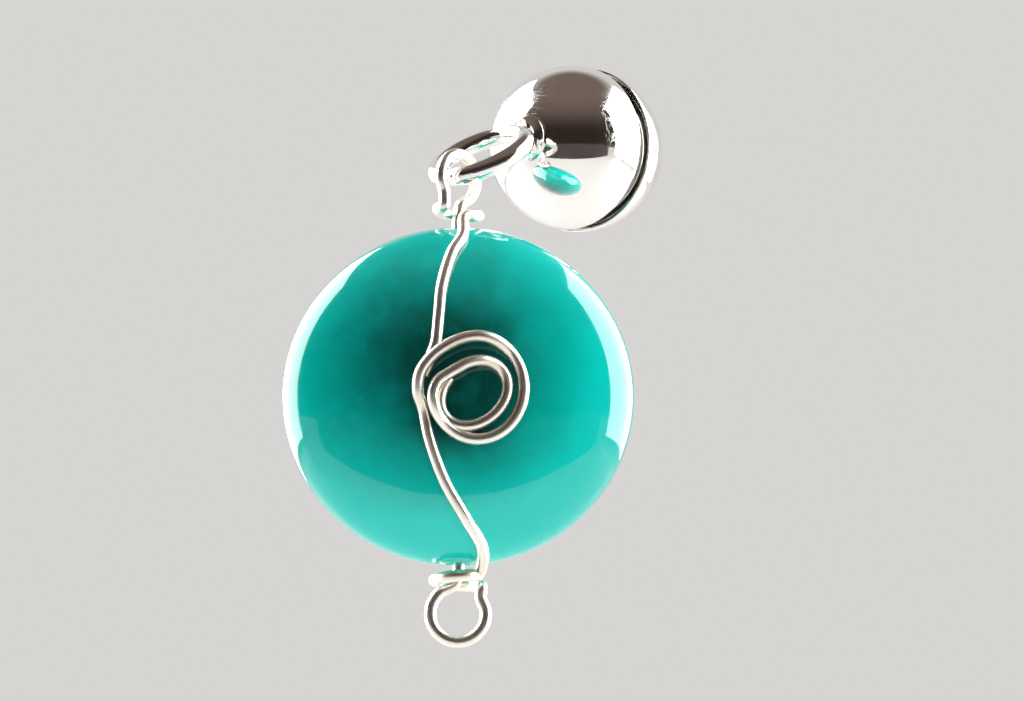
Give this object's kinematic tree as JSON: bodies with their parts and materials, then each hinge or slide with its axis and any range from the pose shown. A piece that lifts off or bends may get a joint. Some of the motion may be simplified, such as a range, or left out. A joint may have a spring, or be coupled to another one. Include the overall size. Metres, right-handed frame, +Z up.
{
  "type": "magnetic drink charm",
  "caption": "Magnetic ball clasp that pinches a glass wall, with a wire-wrapped teal coin bead hanging from its jump ring.",
  "frame": {"origin": "centre of the clasp's outer flat face, where it meets the outside of the glass", "axes": "+Y through the glass wall towards the inner half, -Y out from the glass, +Z up"},
  "size_m": [0.0142, 0.0199, 0.0287],
  "materials": {
    "silver_plate": "mirror polished",
    "magnet_nickel": "satin nickel plate",
    "potting_epoxy": "cured glue",
    "ring_steel": "polished plate on steel",
    "teal_glaze": "high gloss",
    "silver_wire": "polished silver-plated wire"
  },
  "bodies": {
    "outer_half": {"outer_shell": "silver_plate", "outer_magnet": "magnet_nickel", "outer_potting": "potting_epoxy", "outer_eye": "silver_plate"},
    "inner_half": {"inner_shell": "silver_plate", "inner_magnet": "magnet_nickel", "inner_potting": "potting_epoxy"},
    "link": {"link_ring": "ring_steel"},
    "drop": {"bead": "teal_glaze", "bead_wire": "silver_wire"}
  },
  "joints": [
    {"name": "inner_pull", "type": "slide", "parent": "outer_half", "child": "inner_half", "axis": [0, 1, 0], "range_m": [-0.0005, 0.012]},
    {"name": "link_swing", "type": "hinge", "parent": "outer_half", "child": "link", "pos_m": [0, -0.00585, -0.0001], "axis": [1, 0, 0], "range_deg": [-50, 57]},
    {"name": "drop_swing", "type": "hinge", "parent": "link", "child": "drop", "pos_m": [0, -0.00962, -0.00255], "axis": [-1, 0, 0], "range_deg": [-2, 90]}
  ]
}
